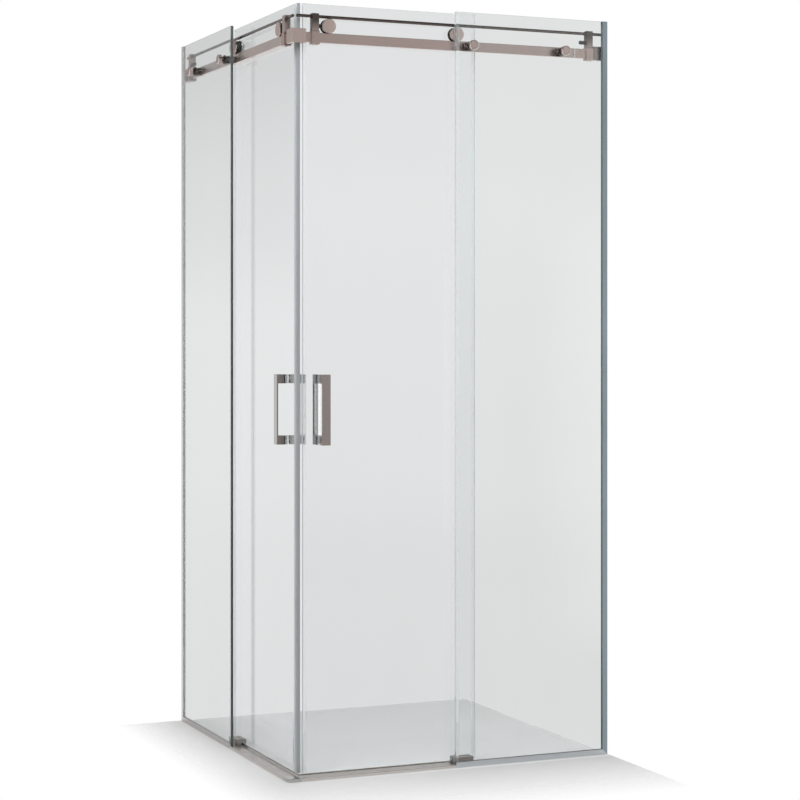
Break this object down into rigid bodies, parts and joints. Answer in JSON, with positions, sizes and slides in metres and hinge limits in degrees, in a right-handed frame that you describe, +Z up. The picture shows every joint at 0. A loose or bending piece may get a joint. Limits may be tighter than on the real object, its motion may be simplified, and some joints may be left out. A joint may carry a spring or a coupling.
{
  "type": "corner shower enclosure",
  "caption": "Square corner shower enclosure: fixed glass side panels, sliding glass doors hung on rollers from flat top rails, bar handles, magnetic corner seals and a low threshold.",
  "frame": {"origin": "centre of the bounding box at floor level", "axes": "+Z up, +X along the right side from the front corner to the right wall, +Y along the left side from the front corner to the left wall"},
  "size_m": [0.924, 0.924, 1.95],
  "materials": {
    "glass": "clear toughened float glass, faint green at the edges",
    "brushed_metal": "brushed, warm grey",
    "polished_metal": "polished",
    "satin_aluminium": "satin anodised",
    "clear_pvc": "clear soft plastic",
    "magnet": "grey brown magnetic strip in a clear skin",
    "black_nylon": "black nylon",
    "black_rubber": "matte black",
    "guide_plastic": "grey brown, half gloss",
    "steel": "plain stainless"
  },
  "bodies": {
    "frame": {"bottom_guides": "guide_plastic", "clamp_bolts": "steel", "clamp_caps": "brushed_metal", "clamp_spacers": "polished_metal", "clamp_washers": "clear_pvc", "corner_connector": "polished_metal", "glazing_seals": "clear_pvc", "guide_screws": "steel", "left_fixed_glass": "glass", "left_floor_profile": "satin_aluminium", "left_guard_rod": "polished_metal", "left_panel_seal": "clear_pvc", "left_rail": "brushed_metal", "left_threshold": "satin_aluminium", "left_wall_profile": "satin_aluminium", "rail_end_pieces": "brushed_metal", "right_fixed_glass": "glass", "right_floor_profile": "satin_aluminium", "right_guard_rod": "polished_metal", "right_panel_seal": "clear_pvc", "right_rail": "brushed_metal", "right_threshold": "satin_aluminium", "right_wall_profile": "satin_aluminium", "rod_brackets": "polished_metal", "set_screws": "steel", "stop_bumpers": "black_rubber", "threshold_corner": "polished_metal", "wall_sockets": "polished_metal"},
    "right_door": {"right_door_glass": "glass", "right_handle_plates": "brushed_metal", "right_handle_posts": "polished_metal", "right_handle_bolts": "steel", "right_glass_pads": "clear_pvc", "right_corner_seal": "clear_pvc", "right_magnet_strip": "magnet", "right_trailing_seal": "clear_pvc", "right_bottom_seal": "clear_pvc", "right_roller_axles": "steel", "right_roller_caps": "brushed_metal", "right_roller_bearings": "steel", "right_roller_bushes": "clear_pvc", "right_roller_nuts": "polished_metal"},
    "right_front_wheel": {"right_front_wheel": "black_nylon"},
    "right_rear_wheel": {"right_rear_wheel": "black_nylon"},
    "left_door": {"left_door_glass": "glass", "left_handle_plates": "brushed_metal", "left_handle_posts": "polished_metal", "left_handle_bolts": "steel", "left_glass_pads": "clear_pvc", "left_corner_seal": "clear_pvc", "left_magnet_strip": "magnet", "left_trailing_seal": "clear_pvc", "left_bottom_seal": "clear_pvc", "left_roller_axles": "steel", "left_roller_caps": "brushed_metal", "left_roller_bearings": "steel", "left_roller_bushes": "clear_pvc", "left_roller_nuts": "polished_metal"},
    "left_front_wheel": {"left_front_wheel": "black_nylon"},
    "left_rear_wheel": {"left_rear_wheel": "black_nylon"}
  },
  "joints": [
    {"name": "right_door_slide", "type": "slide", "parent": "frame", "child": "right_door", "axis": [1, 0, 0], "range_m": [0, 0.342]},
    {"name": "right_front_wheel_turn", "type": "hinge", "parent": "right_door", "child": "right_front_wheel", "pos_m": [-0.326, -0.417, 1.8932], "axis": [0, 1, 0], "range_deg": [-5, 1160]},
    {"name": "right_rear_wheel_turn", "type": "hinge", "parent": "right_door", "child": "right_rear_wheel", "pos_m": [0.0275, -0.417, 1.8932], "axis": [0, 1, 0], "range_deg": [-5, 1160]},
    {"name": "left_door_slide", "type": "slide", "parent": "frame", "child": "left_door", "axis": [0, 1, 0], "range_m": [0, 0.342]},
    {"name": "left_front_wheel_turn", "type": "hinge", "parent": "left_door", "child": "left_front_wheel", "pos_m": [-0.417, -0.326, 1.8932], "axis": [-1, 0, 0], "range_deg": [-5, 1160]},
    {"name": "left_rear_wheel_turn", "type": "hinge", "parent": "left_door", "child": "left_rear_wheel", "pos_m": [-0.417, 0.0275, 1.8932], "axis": [-1, 0, 0], "range_deg": [-5, 1160]}
  ],
  "couplings": [
    {"joint": "right_front_wheel_turn", "follows": "right_door_slide", "rad_per_m": 58.824},
    {"joint": "right_rear_wheel_turn", "follows": "right_door_slide", "rad_per_m": 58.824},
    {"joint": "left_front_wheel_turn", "follows": "left_door_slide", "rad_per_m": 58.824},
    {"joint": "left_rear_wheel_turn", "follows": "left_door_slide", "rad_per_m": 58.824}
  ]
}
